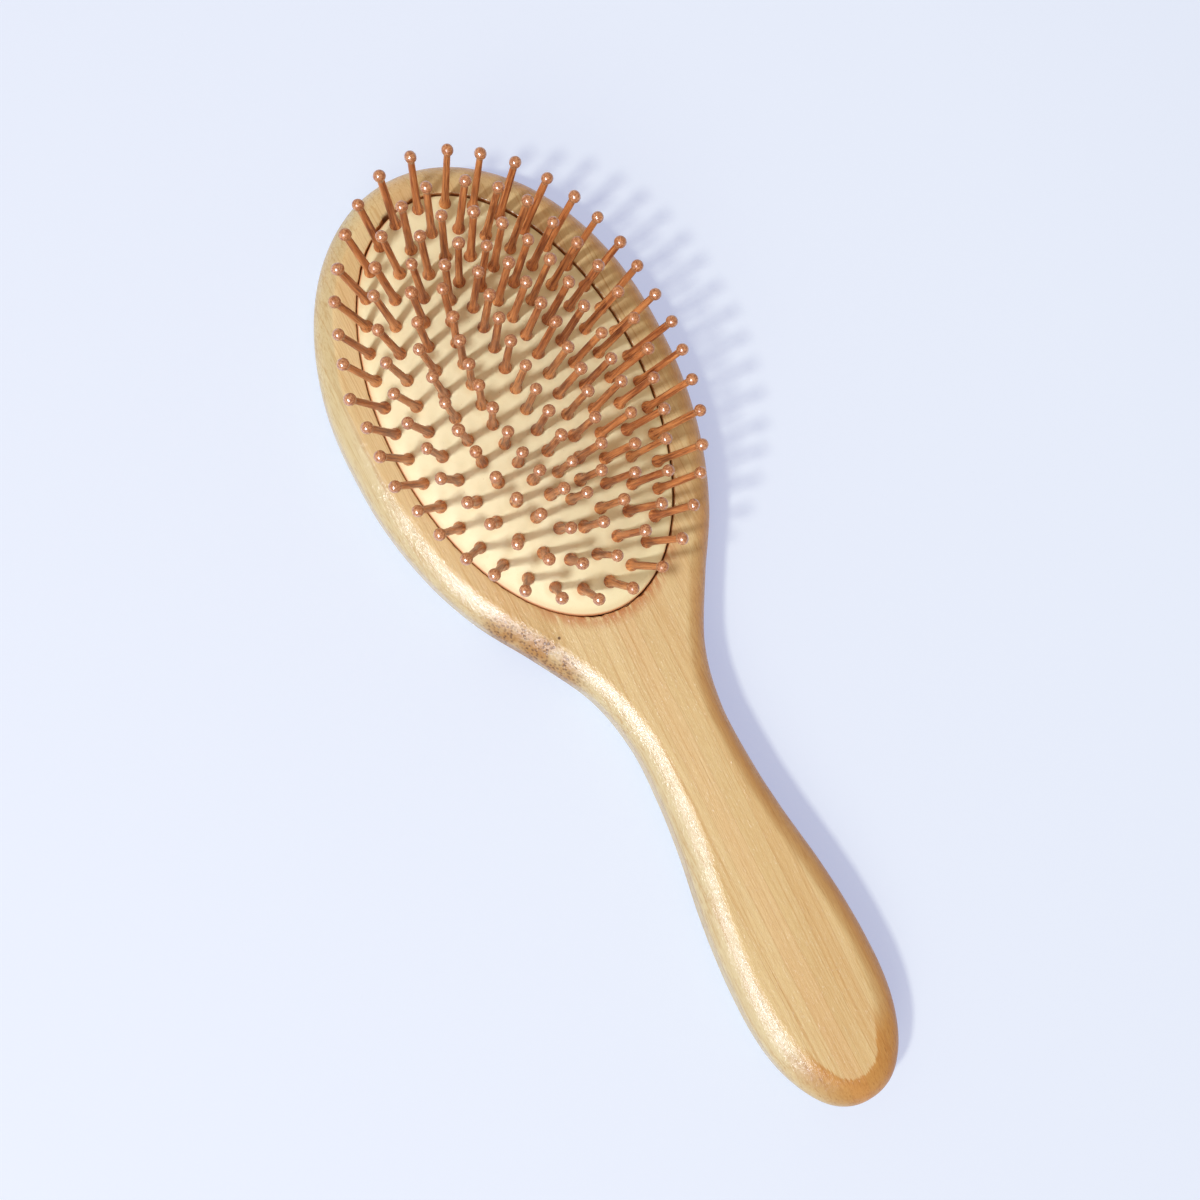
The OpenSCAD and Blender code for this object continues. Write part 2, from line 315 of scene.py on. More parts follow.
# ---------------------------------------------------------------- plies
def chipped_opening():
    """The opening's edge, its outward normals, and the chips and fine roughness along it."""
    count = 520
    edge = ellipse_loop(OPEN_A, OPEN_B, count)
    outward = unit_rows(edge / np.array([OPEN_A ** 2, OPEN_B ** 2]))
    cross_grain = np.abs(outward[:, 1]) ** 2
    random = np.random.default_rng(3)
    chips = np.zeros(count)

    def chip(centre, width, depth):
        away = np.abs(np.arange(count) - centre)
        return depth * np.exp(-(np.minimum(away, count - away) / width) ** 2)

    for _ in range(46):
        centre = random.integers(count)
        width = random.uniform(0.8, 2.4)
        depth = random.uniform(0.1, 0.42)
        chips = np.maximum(chips, chip(centre, width, depth) * (0.15 + 0.85 * cross_grain[centre]))
    # torn patch near the tip, on the -X side: offset along the edge, width, depth
    torn = int(np.argmin(np.hypot(edge[:, 0] + 8.5, edge[:, 1] - 53.5)))
    for offset, width, depth in ((0, 2.5, 0.55), (5, 1.5, 0.4), (-5, 2.0, 0.35)):
        chips = np.maximum(chips, chip(torn + offset, width, depth))
    fine = 0.03 * random.normal(size=count) * (0.3 + cross_grain)
    return edge, outward, chips, fine


def front_ply():
    solid = Solid()
    bottom = 2 * PLY
    outer = [solid.loop(inset(GLUE_BREAK), bottom)]
    for share, depth, height in round_levels():
        depth = depth * END_WIDENING + SANDING * share * FRONT_SANDING
        outer.append(solid.loop(inset(depth), bottom + height))
    crease = EDGE_W * END_WIDENING + CREASE_W + SANDING * FRONT_SANDING
    outer.append(solid.loop(inset(crease), bottom + PLY))
    solid.skin(outer)

    edge, outward, chips, fine = chipped_opening()
    # opening from the front face down: widening, height over the face, share of the chips
    levels = [(0.75, 0.0, 0.0), (0.28, 0.0, 0.6), (0.10, -0.06, 0.9), (0.0, -0.22, 1.0),
              (0.0, -0.8, 0.75), (0.0, -2.2, 0.35), (0.0, -PLY, 0.1)]
    opening = []
    for widening, z, share in levels:
        sink = 0.35 * share if z > -0.5 else 0.0
        xy = edge + outward * (widening + chips * share + fine * share)[:, None]
        opening.append(solid.loop(xy, bottom + PLY + z - chips * sink))
    solid.skin(opening)

    grid = grid_inside(solid.plan(outer[-1]), solid.plan(opening[0]), pitch=3.0, margin=1.0)
    solid.cap(outer[-1], opening[0], up=True, extra=grid)
    solid.cap(outer[0], opening[-1], up=False)
    return solid.build("front_ply_bamboo")


def back_ply():
    solid = Solid()
    loops = [solid.loop(inset(EDGE_W + CREASE_W + SANDING * BACK_SANDING), 0.0)]
    for share, depth, height in reversed(round_levels()):
        loops.append(solid.loop(inset(depth + SANDING * share * BACK_SANDING), PLY - height))
    loops.append(solid.loop(inset(GLUE_BREAK), PLY))
    solid.skin(loops)
    grid = grid_inside(solid.plan(loops[0]), None, pitch=3.2, margin=1.0)
    solid.cap(loops[0], up=False, extra=grid)
    solid.cap(loops[-1], up=True)
    return solid.build("back_ply_bamboo")


def core_ply():
    solid = Solid()
    bulge = 0.04
    outer = [solid.loop(inset(depth), z) for depth, z in (
        (GLUE_BREAK, PLY), (0.0, PLY + BREAK_H), (-bulge, PLY * 1.5),
        (0.0, 2 * PLY - BREAK_H), (GLUE_BREAK, 2 * PLY))]
    solid.skin(outer)

    wide = ellipse_loop(OPEN_A + GROOVE, OPEN_B + GROOVE, 360)
    narrow = ellipse_loop(OPEN_A, OPEN_B, 360)
    shelf = FLANGE_TOP - FLANGE_T - 0.05
    opening = [solid.loop(xy, z) for xy, z in (
        (wide, 2 * PLY), (wide, shelf), (narrow, shelf), (narrow, PLY))]
    solid.skin(opening)
    solid.cap(outer[-1], opening[0], up=True)
    solid.cap(outer[0], opening[-1], up=False)
    return solid.build("core_ply_bamboo")


# ---------------------------------------------------------------- dome and pin places
def dome_z(x, y):
    return CAP_Z + CAP_C * np.sqrt(1 - (x / CAP_A) ** 2 - (y / CAP_B) ** 2)


def dome_normal(x, y):
    v = np.array([x / CAP_A ** 2, y / CAP_B ** 2, (dome_z(x, y) - CAP_Z) / CAP_C ** 2])
    return v / np.linalg.norm(v)


def row_points(b, count):
    return [(0.0, FIELD_Y + b - 2 * b * i / (count - 1)) for i in range(count)]


def ring_points(a, b, count):
    """Pins evenly spaced round an ellipse, clockwise from +Y and mirrored in X."""
    angles = np.radians(np.arange(0, 181, 2.0))
    along = distance_along(np.column_stack([a * np.sin(angles), FIELD_Y + b * np.cos(angles)]))
    half = []
    for i in range(count // 2 + 1):
        t = np.interp(along[-1] * 2 * i / count, along, angles)
        half.append((a * math.sin(t), FIELD_Y + b * math.cos(t)))
    return half + [(-x, y) for x, y in half[count // 2 - 1:0:-1]]


PINS = [ring_points(a, b, count) if a else row_points(b, count) for a, b, count, _, _ in RINGS]


# ---------------------------------------------------------------- rubber cushion
FILLET = 0.45                            # rounded shoulder at the dome's edge
OFF_CENTRE = np.array([-0.17, -0.06])    # it sits a hair to one side of its opening
DISH_DEPTH, DISH_R = 0.34, 1.55          # each pin draws the rubber down
LIP_H, LIP_R, LIP_W = 0.07, 2.7, 0.8     # and raises a faint lip round the dish
PIN_REACH = 5.0
SKIRT_Z = 12.6                           # a level part-way down the skirt


def dome_skin_z(xy, share):
    """Height of the stretched rubber on a loop at a share of the dome's radius."""
    x, y = xy[:, 0], xy[:, 1]
    z = dome_z(x, y)
    for ring in PINS:
        for pin_x, pin_y in ring:
            squared = (x - pin_x) ** 2 + (y - pin_y) ** 2
            near = squared < PIN_REACH ** 2
            away = np.sqrt(squared[near])
            z[near] += (-DISH_DEPTH * np.exp(-(away / DISH_R) ** 2)
                        + LIP_H * np.exp(-((away - LIP_R) / LIP_W) ** 2))
    # the skin is not quite even, and turns up a little at its edge
    z = z + 0.05 * np.sin(x * 0.21 + 1.3) * np.sin(y * 0.17 + 0.4) * (1 - share ** 4)
    return z + 0.26 * max(0.0, (share - 0.90) / 0.10) ** 2


def cushion():
    solid = Solid()
    count = 560
    t = np.linspace(0, 2 * math.pi, count, endpoint=False)
    unit = np.column_stack([np.sin(t), np.cos(t)])
    loops = []
    top_a, top_b = CUSH_A - FILLET, CUSH_B - FILLET
    for share in np.concatenate([[0.012], np.linspace(0.03, 1.0, 104)]):
        xy = unit * [top_a * share, top_b * share] + OFF_CENTRE * share ** 3
        z = dome_skin_z(xy, share)
        loops.append(solid.loop(xy, z))
    for quarter in np.linspace(0.12, 1, 9):
        a = quarter * math.pi / 2
        out = FILLET * math.sin(a)
        drop = (FILLET - FILLET * math.cos(a)) * 0.9
        xy = unit * [top_a + out, top_b + out] + OFF_CENTRE
        loops.append(solid.loop(xy, z - 0.30 * out - drop))

    # skirt, flange and the inner wall's foot
    skirt = unit * [CUSH_A, CUSH_B] + OFF_CENTRE
    flange = unit * [OPEN_A + GROOVE - 0.5, OPEN_B + GROOVE - 0.5]
    inner_a, inner_b = CUSH_A - RUBBER_T, CUSH_B - RUBBER_T
    for xy, z in ((skirt, SKIRT_Z), (skirt, FLANGE_TOP), (flange, FLANGE_TOP),
                  (flange, FLANGE_TOP - FLANGE_T),
                  (unit * [inner_a, inner_b], FLANGE_TOP - FLANGE_T)):
        loops.append(solid.loop(xy, z))

    under_drop = RUBBER_T + 0.1
    for share in (1.0, 0.985, 0.95, 0.9, 0.8, 0.65, 0.5, 0.35, 0.2, 0.08, 0.02):
        xy = unit * [inner_a * share, inner_b * share]
        loops.append(solid.loop(xy, dome_z(xy[:, 0], xy[:, 1]) - under_drop))
    solid.skin(loops, flip=True)

    # a vertex closes each pole
    crown = dome_z(0.0, 0.0)
    top, under = solid.loop([[0, 0], [0, 0]], np.array([crown, crown - under_drop]))
    for i in range(count):
        j = (i + 1) % count
        solid.faces.append([top, loops[0][j], loops[0][i]])
        solid.faces.append([under, loops[-1][i], loops[-1][j]])
    return solid.build("rubber_cushion_skin", sharp=60)


# ---------------------------------------------------------------- pins
PIN_SEGMENTS = 20
# (radius, height) of the root inside the rubber
ROOT = [(0.55, -3.35), (1.0, -2.6), (1.2, -1.95), (1.2, -1.72), (0.85, -1.6), (0.85, -0.35)]
# (share of the collar's radius, height)
COLLAR = [(0.84, -0.30), (0.965, -0.12), (1.0, 0.15), (0.99, 0.42), (0.945, 0.75),
          (0.87, 1.1), (0.785, 1.5), (0.70, 1.95)]
# (share of the stem's base radius, height)
STEM_FOOT = [(1.10, 2.45), (1.03, 3.1), (0.99, 4.2)]
TAPER_Z = STEM_FOOT[-1][1]


def pin_profile(random):
    """(radius, height) up one unevenly turned pin, its ball's centre height and radius."""
    collar = COLLAR_D / 2 * (1 + random.normal() * 0.025)
    stem = 1 + random.normal() * 0.03
    height = PIN_H + random.normal() * 0.12
    ball = BALL_D / 2 * (1 + random.normal() * 0.02)
    points = ROOT + [(collar * share, z) for share, z in COLLAR]
    points += [(STEM_BASE / 2 * share * stem, z) for share, z in STEM_FOOT]
    for q in np.linspace(0, 1, 9)[1:]:
        z = TAPER_Z + q * (height - ball * 0.93 - TAPER_Z - 0.7)
        radius = (STEM_BASE / 2 * 0.985) * (1 - q) + (STEM_TIP / 2 * 1.02) * q
        points.append((radius * stem * (1 + random.normal() * 0.010), z))
    neck = STEM_TIP / 2 * 1.05 * stem
    points.append((STEM_TIP / 2 * 0.97 * stem, height - ball * 0.93 - 0.22))
    points.append((neck, height - ball * 0.90))
    first = -math.pi / 2 + math.asin(neck / ball) + 0.12
    for a in np.linspace(first, math.pi / 2 - 0.16, 13):
        squash = 1.0 if a < 0 else 0.97
        points.append((ball * math.cos(a), height + ball * math.sin(a) * squash))
    return points, height, ball


def pin_mesh(name, places, seed):
    """One mesh of several pins, each standing on the dome with a light lean and bend."""
    random = np.random.default_rng(seed)
    verts, faces, grain, tones, ball_shares = [], [], [], [], []
    for x, y in places:
        start = len(verts)
        profile, height, ball = pin_profile(random)
        normal = dome_normal(x, y)
        lean = Vector((random.normal() * 0.016, random.normal() * 0.016, 0))
        axis = Vector((normal[0] + lean.x, normal[1] + lean.y, normal[2])).normalized()
        turn = Vector((0, 0, 1)).rotation_difference(axis).to_matrix()
        spin = random.uniform(0, 6.28)
        bend_x, bend_y = random.normal() * 0.10, random.normal() * 0.10
        root = np.array([x, y, float(dome_z(x, y))])
        shift = random.uniform(0, 90)        # moves each pin to its own part of the grain
        tone = random.uniform(0, 1)
        oval = 1 + random.normal() * 0.02

        def add_point(point, grain_point, ball_share):
            verts.append(np.array(turn @ Vector(point)) + root)
            grain.append((grain_point[0] + shift, grain_point[1] + shift * 0.37,
                          grain_point[2] + shift * 1.7))
            tones.append(tone)
            ball_shares.append(ball_share)

        for radius, z in profile:
            rise = max(z, 0) / height
            ball_share = min(max((z - (height - ball * 1.25)) / 0.5, 0), 1)
            for s in range(PIN_SEGMENTS):
                a = spin + 2 * math.pi * s / PIN_SEGMENTS
                point = (radius * math.cos(a) * oval + bend_x * rise * rise,
                         radius * math.sin(a) / oval + bend_y * rise * rise, z)
                add_point(point, point, ball_share)

        last = len(profile) - 1
        for i in range(last):
            low, high = start + i * PIN_SEGMENTS, start + (i + 1) * PIN_SEGMENTS
            for s in range(PIN_SEGMENTS):
                t = (s + 1) % PIN_SEGMENTS
                faces.append([low + s, low + t, high + t, high + s])

        root_end = (0, 0, profile[0][1] - 0.12)
        ball_end = (bend_x, bend_y, height + ball * 0.968)
        for point, ring, up in ((root_end, 0, False), (ball_end, last, True)):
            centre = len(verts)
            add_point(point, (0, 0, point[2]), float(up))
            first = start + ring * PIN_SEGMENTS
            for s in range(PIN_SEGMENTS):
                face = [first + s, first + (s + 1) % PIN_SEGMENTS, centre]
                faces.append(face if up else face[::-1])

    mesh = bpy.data.meshes.new(name)
    mesh.from_pydata((np.array(verts) * MM).tolist(), [], faces)
    mesh.shade_smooth()
    mesh.set_sharp_from_angle(angle=math.radians(70))
    add_attribute(mesh, "pin_co", "FLOAT_VECTOR", "vector", grain)
    add_attribute(mesh, "pin_tone", "FLOAT", "value", tones)
    add_attribute(mesh, "pin_ball", "FLOAT", "value", ball_shares)
    return add_object(name, mesh)


# ---------------------------------------------------------------- shader helpers
def srgb(*channels):
    """Linear colour from 8-bit sRGB channels."""
    shares = [c / 255 for c in channels]
    return tuple(c / 12.92 if c <= 0.04045 else ((c + 0.055) / 1.055) ** 2.4
                 for c in shares) + (1.0,)


class Signal:
    """A shader node's output; arithmetic on it makes Math nodes."""

    def __init__(self, shader, socket):
        self.shader = shader
        self.socket = socket

    def __add__(self, other):
        return self.shader.math("ADD", self, other)

    def __radd__(self, other):
        return self.shader.math("ADD", other, self)

    def __sub__(self, other):
        return self.shader.math("SUBTRACT", self, other)

    def __rsub__(self, other):
        return self.shader.math("SUBTRACT", other, self)

    def __mul__(self, other):
        return self.shader.math("MULTIPLY", self, other)

    def __truediv__(self, other):
        return self.shader.math("DIVIDE", self, other)

    def step(self, begin, end, low=0.0, high=1.0):
        """Smooth step from low to high as the signal goes from begin to end."""
        return self.shader.make("MapRange", {0: self, 1: begin, 2: end, 3: low, 4: high},
                                interpolation_type="SMOOTHSTEP")

    def paint(self, colour, mask, strength=None):
        """This colour covered with another where the mask is high."""
        factor = mask if strength is None else mask * strength
        return self.shader.mix(factor, self, colour)

    def tint(self, colour):
        return self.shader.mix(1.0, self, colour, mode="MULTIPLY")


class Shader:
    """A material with one Principled BSDF; its methods add nodes and return Signals."""

    def __init__(self, name):
        self.material = bpy.data.materials.new(name)
        self.material.use_nodes = True
        self.tree = self.material.node_tree
        self.tree.nodes.clear()
        output = self.build("OutputMaterial", {})
        self.bsdf = self.build("BsdfPrincipled", {})
        self.tree.links.new(self.bsdf.outputs[0], output.inputs[0])

    def feed(self, node, inputs):
        for key, value in inputs.items():
            if isinstance(value, Signal):
                self.tree.links.new(value.socket, node.inputs[key])
            elif value is not None:
                node.inputs[key].default_value = value

    def build(self, kind, inputs, **settings):
        node = self.tree.nodes.new("ShaderNode" + kind)
        for key, value in settings.items():
            setattr(node, key, value)
        self.feed(node, inputs)
        return node

    def make(self, kind, inputs, output=0, **settings):
        return Signal(self, self.build(kind, inputs, **settings).outputs[output])

    def math(self, operation, a, b=None):
        return self.make("Math", {0: a, 1: b}, operation=operation)

    def hypot(self, a, b):
        return self.math("SQRT", a * a + b * b)

    def split(self, vector):
        return [Signal(self, s) for s in self.build("SeparateXYZ", {0: vector}).outputs]

    def combine(self, x, y, z):
        return self.make("CombineXYZ", {0: x, 1: y, 2: z})

    def scaled(self, vector, x, y, z):
        return self.make("VectorMath", {0: vector, 1: (x, y, z)}, operation="MULTIPLY")

    def distance(self, vector, point):
        return self.make("VectorMath", {0: vector, 1: point}, output=1, operation="DISTANCE")

    def coordinate(self, kind):
        return self.make("TexCoord", {}, output=kind)

    def object_mm(self):
        return self.scaled(self.coordinate("Object"), 1000.0, 1000.0, 1000.0)

    def attribute(self, name, output="Fac"):
        return self.make("Attribute", {}, output=output, attribute_name=name)

    def noise(self, vector, detail=3.0, rough=0.5):
        return self.make("TexNoise", {"Vector": vector, "Scale": 1.0, "Detail": detail,
                                      "Roughness": rough})

    def voronoi(self, vector):
        """Distance to the nearest cell point, and the cell's random colour."""
        node = self.build("TexVoronoi", {"Vector": vector, "Scale": 1.0})
        return Signal(self, node.outputs["Distance"]), Signal(self, node.outputs["Color"])

    def white(self, value):
        return self.make("TexWhiteNoise", {"W": value}, output="Value", noise_dimensions="1D")

    def mix(self, factor, a, b, mode="MIX"):
        return self.make("Mix", {0: factor, 6: a, 7: b}, output=2, data_type="RGBA",
                         blend_type=mode)

    def bump(self, height, strength, distance):
        """Distance is in metres."""
        return self.make("Bump", {"Strength": strength, "Distance": distance, "Height": height})

    def finish(self, inputs):
        self.feed(self.bsdf, inputs)
        return self.material


# ---------------------------------------------------------------- bamboo
STRIP_W = 4.7                            # the board is glued up from strips this wide
RIM_SCALE = 44.0                         # turns the opening's relative radius into about mm


def bamboo_fields(t):
    """Coordinates, facings and grain patterns that the bamboo's layers share."""
    place = t.object_mm()
    x, y, z = t.split(place)
    # the ply's number shifts the grain, so the three layers differ
    ply = t.math("MAXIMUM", t.math("MINIMUM", t.math("FLOOR", z / PLY), 2.0), 0.0)
    wander = t.noise(t.combine(x * 0.02, y * 0.012, ply * 3.7), detail=2.0)
    grain_x = (x + (wander - 0.5) * 5.0) + ply * 37.3
    grain_z = z + ply * 11.1

    def along_fibres(across, along, depth=None):
        """Coordinates stretched along Y, in cells per mm."""
        return t.combine(grain_x * across, y * along, grain_z * (depth or across))

    # fibre bundles: dots where the cut crosses the fibres, hair lines where it runs with them
    bundle_gap, bundle_cell = t.voronoi(along_fibres(across=1.25, along=0.03))
    bundle = (bundle_gap.step(begin=0.10, end=0.30, low=1.0, high=0.0)
              * t.split(bundle_cell)[0].step(begin=0.25, end=0.8))
    normal_x, normal_y, normal_z = t.split(t.coordinate("Normal"))
    upright = t.math("ABSOLUTE", normal_z)

    # speckled node of the culm, a slanting oval on the -X shoulder
    node_x, node_y = x + 25.5, y + 56.0
    cos60, sin60 = 0.50, 0.866
    node_long = (node_x * cos60 - node_y * sin60) / 14.5
    node_short = (node_x * sin60 + node_y * cos60) / 8.5
    node = (t.hypot(node_long, node_short).step(begin=1.25, end=0.55)
            * upright.step(begin=0.995, end=0.95, low=0.25, high=1.0))
    speck_gap, speck_cell = t.voronoi(t.combine(x * 1.5, y * 1.15, z * 1.3))
    patches = t.noise(t.scaled(place, 0.16, 0.16, 0.16))
    specks = (speck_gap.step(begin=0.28, end=0.58, low=1.0, high=0.0)
              * (t.split(speck_cell)[1].step(begin=0.12, end=0.36)
                 * patches.step(begin=0.36, end=0.56, low=0.30, high=1.0)))
    return SimpleNamespace(
        place=place, x=x, y=y, z=z, ply=ply,
        strip=grain_x / STRIP_W,
        coarse=t.noise(along_fibres(across=1.15, along=0.014), detail=4.0, rough=0.6),
        fine=t.noise(along_fibres(across=4.2, along=0.035), detail=3.0, rough=0.65),
        broad=t.noise(along_fibres(across=0.28, along=0.006), detail=2.0, rough=0.5),
        flecks=t.noise(along_fibres(across=2.6, along=0.30), detail=3.0, rough=0.6),
        teeth=t.noise(along_fibres(across=1.9, along=0.10, depth=0.5), detail=2.0, rough=0.7),
        bundle=bundle, normal_x=normal_x, upright=upright,
        end_grain=t.math("ABSOLUTE", normal_y).step(begin=0.42, end=0.98),
        rounded=upright.step(begin=0.97, end=0.35),
        node=node, patches=patches, specks=specks,
        rim=t.attribute("rim_mm"),
        wear=t.noise(t.scaled(place, 0.035, 0.02, 0.05)))


def paint_grain(t, f):
    """Strips with a tone each, then streaks, flecks and fibre bundles."""
    strip_id = t.math("FLOOR", f.strip)
    tone = t.white(strip_id + f.ply * 13.0)
    ruddy = t.white(strip_id + 71.5)
    base = t.mix(tone, srgb(229, 207, 162), srgb(219, 190, 141))
    base = base.paint(srgb(226, 180, 134), ruddy.step(begin=0.55, end=0.95), strength=0.35)
    base = base.paint(srgb(236, 215, 174), f.broad.step(begin=0.35, end=0.7), strength=0.45)
    base = base.paint(srgb(203, 162, 106), f.coarse.step(begin=0.48, end=0.70), strength=0.60)
    base = base.paint(srgb(194, 150, 96), f.fine.step(begin=0.50, end=0.72), strength=0.50)
    base = base.paint(srgb(244, 219, 170), f.fine.step(begin=0.46, end=0.28), strength=0.35)
    # short flecks are clearest where the round-over cuts the fibres
    fleck_strength = 0.16 + f.rounded * 0.38
    base = base.paint(srgb(190, 140, 82), f.flecks.step(begin=0.54, end=0.68), fleck_strength)
    base = base.paint(srgb(246, 222, 174), f.flecks.step(begin=0.46, end=0.32), fleck_strength)
    bundle_strength = f.end_grain * 0.40 + (f.rounded * 0.26 + 0.12)
    return base.paint(srgb(168, 113, 60), f.bundle, bundle_strength)


def paint_edges(f, base):
    """End grain at the grip's end drinks more lacquer and goes orange. The rest is painted light
    and shade: the round-over is toned down on the lamp-lit -X side and warmed toward the +X side,
    the grip end's orange is weaker on the -X side, and the +X edge, away from the lamps, goes
    orange.
    """
    # painted shade: the round-over facing -X, where the lamps light it, is toned down
    lamp_side_painted_shade = (f.normal_x.step(begin=-0.06, end=-0.40)
                      * f.upright.step(begin=0.99, end=0.93))
    base = base.paint(base.tint((0.83, 0.885, 0.95, 1.0)), lamp_side_painted_shade)
    # painted shade: the round-over goes warmer and darker, most on the +X side away from the lamps
    shade_side_painted_shade = f.normal_x.step(begin=-0.3, end=0.5, low=0.05, high=0.9)
    base = base.paint(base.tint(srgb(246, 214, 160)), f.rounded, shade_side_painted_shade)
    orange = base.tint(srgb(226, 182, 118))
    # the grip's end, with a toothed border
    border = f.rim + (f.teeth - 0.5) * 2.6
    grip_end = border.step(begin=7.5, end=6.9) * f.y.step(begin=-164.0, end=-174.0)
    # painted light: the end grain's orange fades on the lamp-lit -X side
    grip_end = grip_end * f.normal_x.step(begin=-0.80, end=-0.25, low=0.20, high=1.0)
    base = base.paint(orange, grip_end, strength=0.85)
    base = base.paint(srgb(150, 96, 48), f.bundle * grip_end, strength=0.55)
    # painted shade: the +X edge, away from the lamps, goes orange
    plus_x_edge_painted_shade = f.normal_x.step(begin=0.12, end=0.55) * f.rim.step(begin=6.0, end=4.6)
    return base.paint(orange, plus_x_edge_painted_shade, strength=0.65)


def paint_culm_node(t, f, base):
    """Stain, specks and one dark pit."""
    stain = f.node * f.patches.step(begin=0.32, end=0.56)
    base = base.paint(srgb(168, 116, 50), stain, strength=0.85)
    base = base.paint(srgb(92, 56, 24), f.specks * f.node, strength=0.95)
    pit = t.distance(t.combine(f.x, f.y, 0.0), point=(-16.9, -54.9, 0.0))
    return base.paint(srgb(84, 44, 20), pit.step(begin=0.50, end=0.22), strength=0.90)


def paint_glue(t, f, base):
    """Glue between the strips and between the plies."""
    across = t.math("FRACT", f.strip)
    seam = t.math("MINIMUM", across, 1.0 - across)
    base = base.paint(srgb(176, 124, 70), seam.step(begin=0.035, end=0.008), strength=0.28)
    joint = t.math("MINIMUM", t.math("ABSOLUTE", f.z - PLY), t.math("ABSOLUTE", f.z - 2 * PLY))
    on_side = f.upright.step(begin=0.90, end=0.70)
    uneven = t.noise(t.combine(f.x * 0.1, f.y * 0.1, 0.0), detail=2.0)
    return base.paint(srgb(160, 98, 46), joint.step(begin=0.22, end=0.08) * on_side,
                      uneven.step(begin=0.3, end=0.6, low=0.45, high=0.85))


def paint_opening(t, f, base):
    """Burnt rim of the opening: strongest at its grip end, its wall and the torn patch."""
    from_rim = (t.hypot(f.x / OPEN_A, f.y / OPEN_B) - 1.0) * RIM_SCALE
    streaks = t.noise(t.combine(f.x * 0.9, f.y * 0.16, 4.0), detail=4.0, rough=0.6)
    grip_side = from_rim.step(begin=3.4, end=0.1) * f.y.step(begin=-40.0, end=-53.0)
    scorch = grip_side * streaks.step(begin=0.34, end=0.54)
    base = base.paint(srgb(190, 106, 54), scorch, strength=0.75)
    wall = f.upright.step(begin=0.75, end=0.35) * from_rim.step(begin=1.4, end=0.9)
    base = base.paint(srgb(212, 138, 82), wall, strength=0.72)
    tear = (t.distance(f.place, point=(-8.6, 54.2, 15.9)).step(begin=3.6, end=0.8)
            * from_rim.step(begin=1.3, end=0.2))
    return base.paint(srgb(92, 62, 40), tear, streaks.step(begin=0.42, end=0.55))


def bamboo():
    t = Shader("bamboo_lacquered")
    f = bamboo_fields(t)
    base = paint_grain(t, f)
    base = paint_edges(f, base)
    base = paint_culm_node(t, f, base)
    base = paint_glue(t, f, base)
    base = paint_opening(t, f, base)
    # faint soft darkening from handling, then the overall cast
    base = base.paint(srgb(206, 158, 100), f.wear.step(begin=0.45, end=0.75), strength=0.16)
    base = base.tint((0.945, 0.99, 0.975, 1.0))

    ripple = t.noise(t.scaled(f.place, 1.5, 0.7, 1.5), detail=3.0, rough=0.6)
    # relief: raised fibres, sunk bundles and specks, rippled lacquer
    relief = f.fine * 0.6 + f.bundle * -0.5
    relief = relief + (f.specks * f.node) * -1.4
    relief = relief + ripple * 1.6
    # the lacquer follows the uneven sanding, so its sheen breaks up;
    # it is thinner toward the grip and over the culm node
    sheen = (ripple * 0.6 + f.fine * 0.4).step(begin=0.34, end=0.66, low=0.45, high=1.0)
    toward_head = f.y.step(begin=-150.0, end=-45.0, low=0.6, high=1.0)
    off_node = f.node.step(begin=0.1, end=0.9, low=1.0, high=0.45)
    return t.finish({
        "Base Color": base,
        "Roughness": f.fine * 0.16 + (0.30 + f.wear * 0.08),
        "Normal": t.bump(relief, strength=0.6, distance=0.00007),
        "Specular IOR Level": 0.25,
        "Coat Weight": (sheen * toward_head) * off_node,
        "Coat Roughness": 0.22,
        "Coat Normal": t.bump(ripple + f.flecks * 0.6, strength=1.0, distance=0.00020),
    })


# ---------------------------------------------------------------- rubber and pin wood
def rubber():
    t = Shader("cushion_rubber_cream")
    place = t.object_mm()
    clouds = t.noise(t.scaled(place, 0.05, 0.05, 0.05))
    mottle = t.noise(t.scaled(place, 1.6, 1.6, 1.6))
    base = t.mix(clouds, srgb(247, 246, 213), srgb(243, 240, 201))
    base = base.paint(srgb(232, 213, 164), mottle.step(begin=0.55, end=0.75), strength=0.14)
    # the rubber is darker toward its rim; at the rim itself, down in the gap by the wood, a brown
    # tint is painted shade
    x, y, _ = t.split(place)
    radius = t.hypot(x / CUSH_A, y / CUSH_B)
    base = base.paint(srgb(206, 172, 116), radius.step(begin=0.955, end=1.0), strength=0.35)
    # painted shade: brown on the shoulder and skirt, in the gap between the rubber and the wood
    base = base.paint(srgb(206, 128, 74), radius.step(begin=0.990, end=1.0), strength=0.80)
    spots, _ = t.voronoi(t.scaled(place, 0.35, 0.35, 0.35))
    base = base.paint(srgb(170, 130, 86), spots.step(begin=0.06, end=0.02), strength=0.35)
    grain = t.noise(t.scaled(place, 5.0, 5.0, 5.0), detail=2.0)
    return t.finish({
        "Base Color": base,
        "Roughness": 0.50 + mottle * 0.14,
        "Normal": t.bump(grain + mottle, strength=0.25, distance=0.00008),
        "Specular IOR Level": 0.35,
        "Coat Roughness": 0.1,
    })


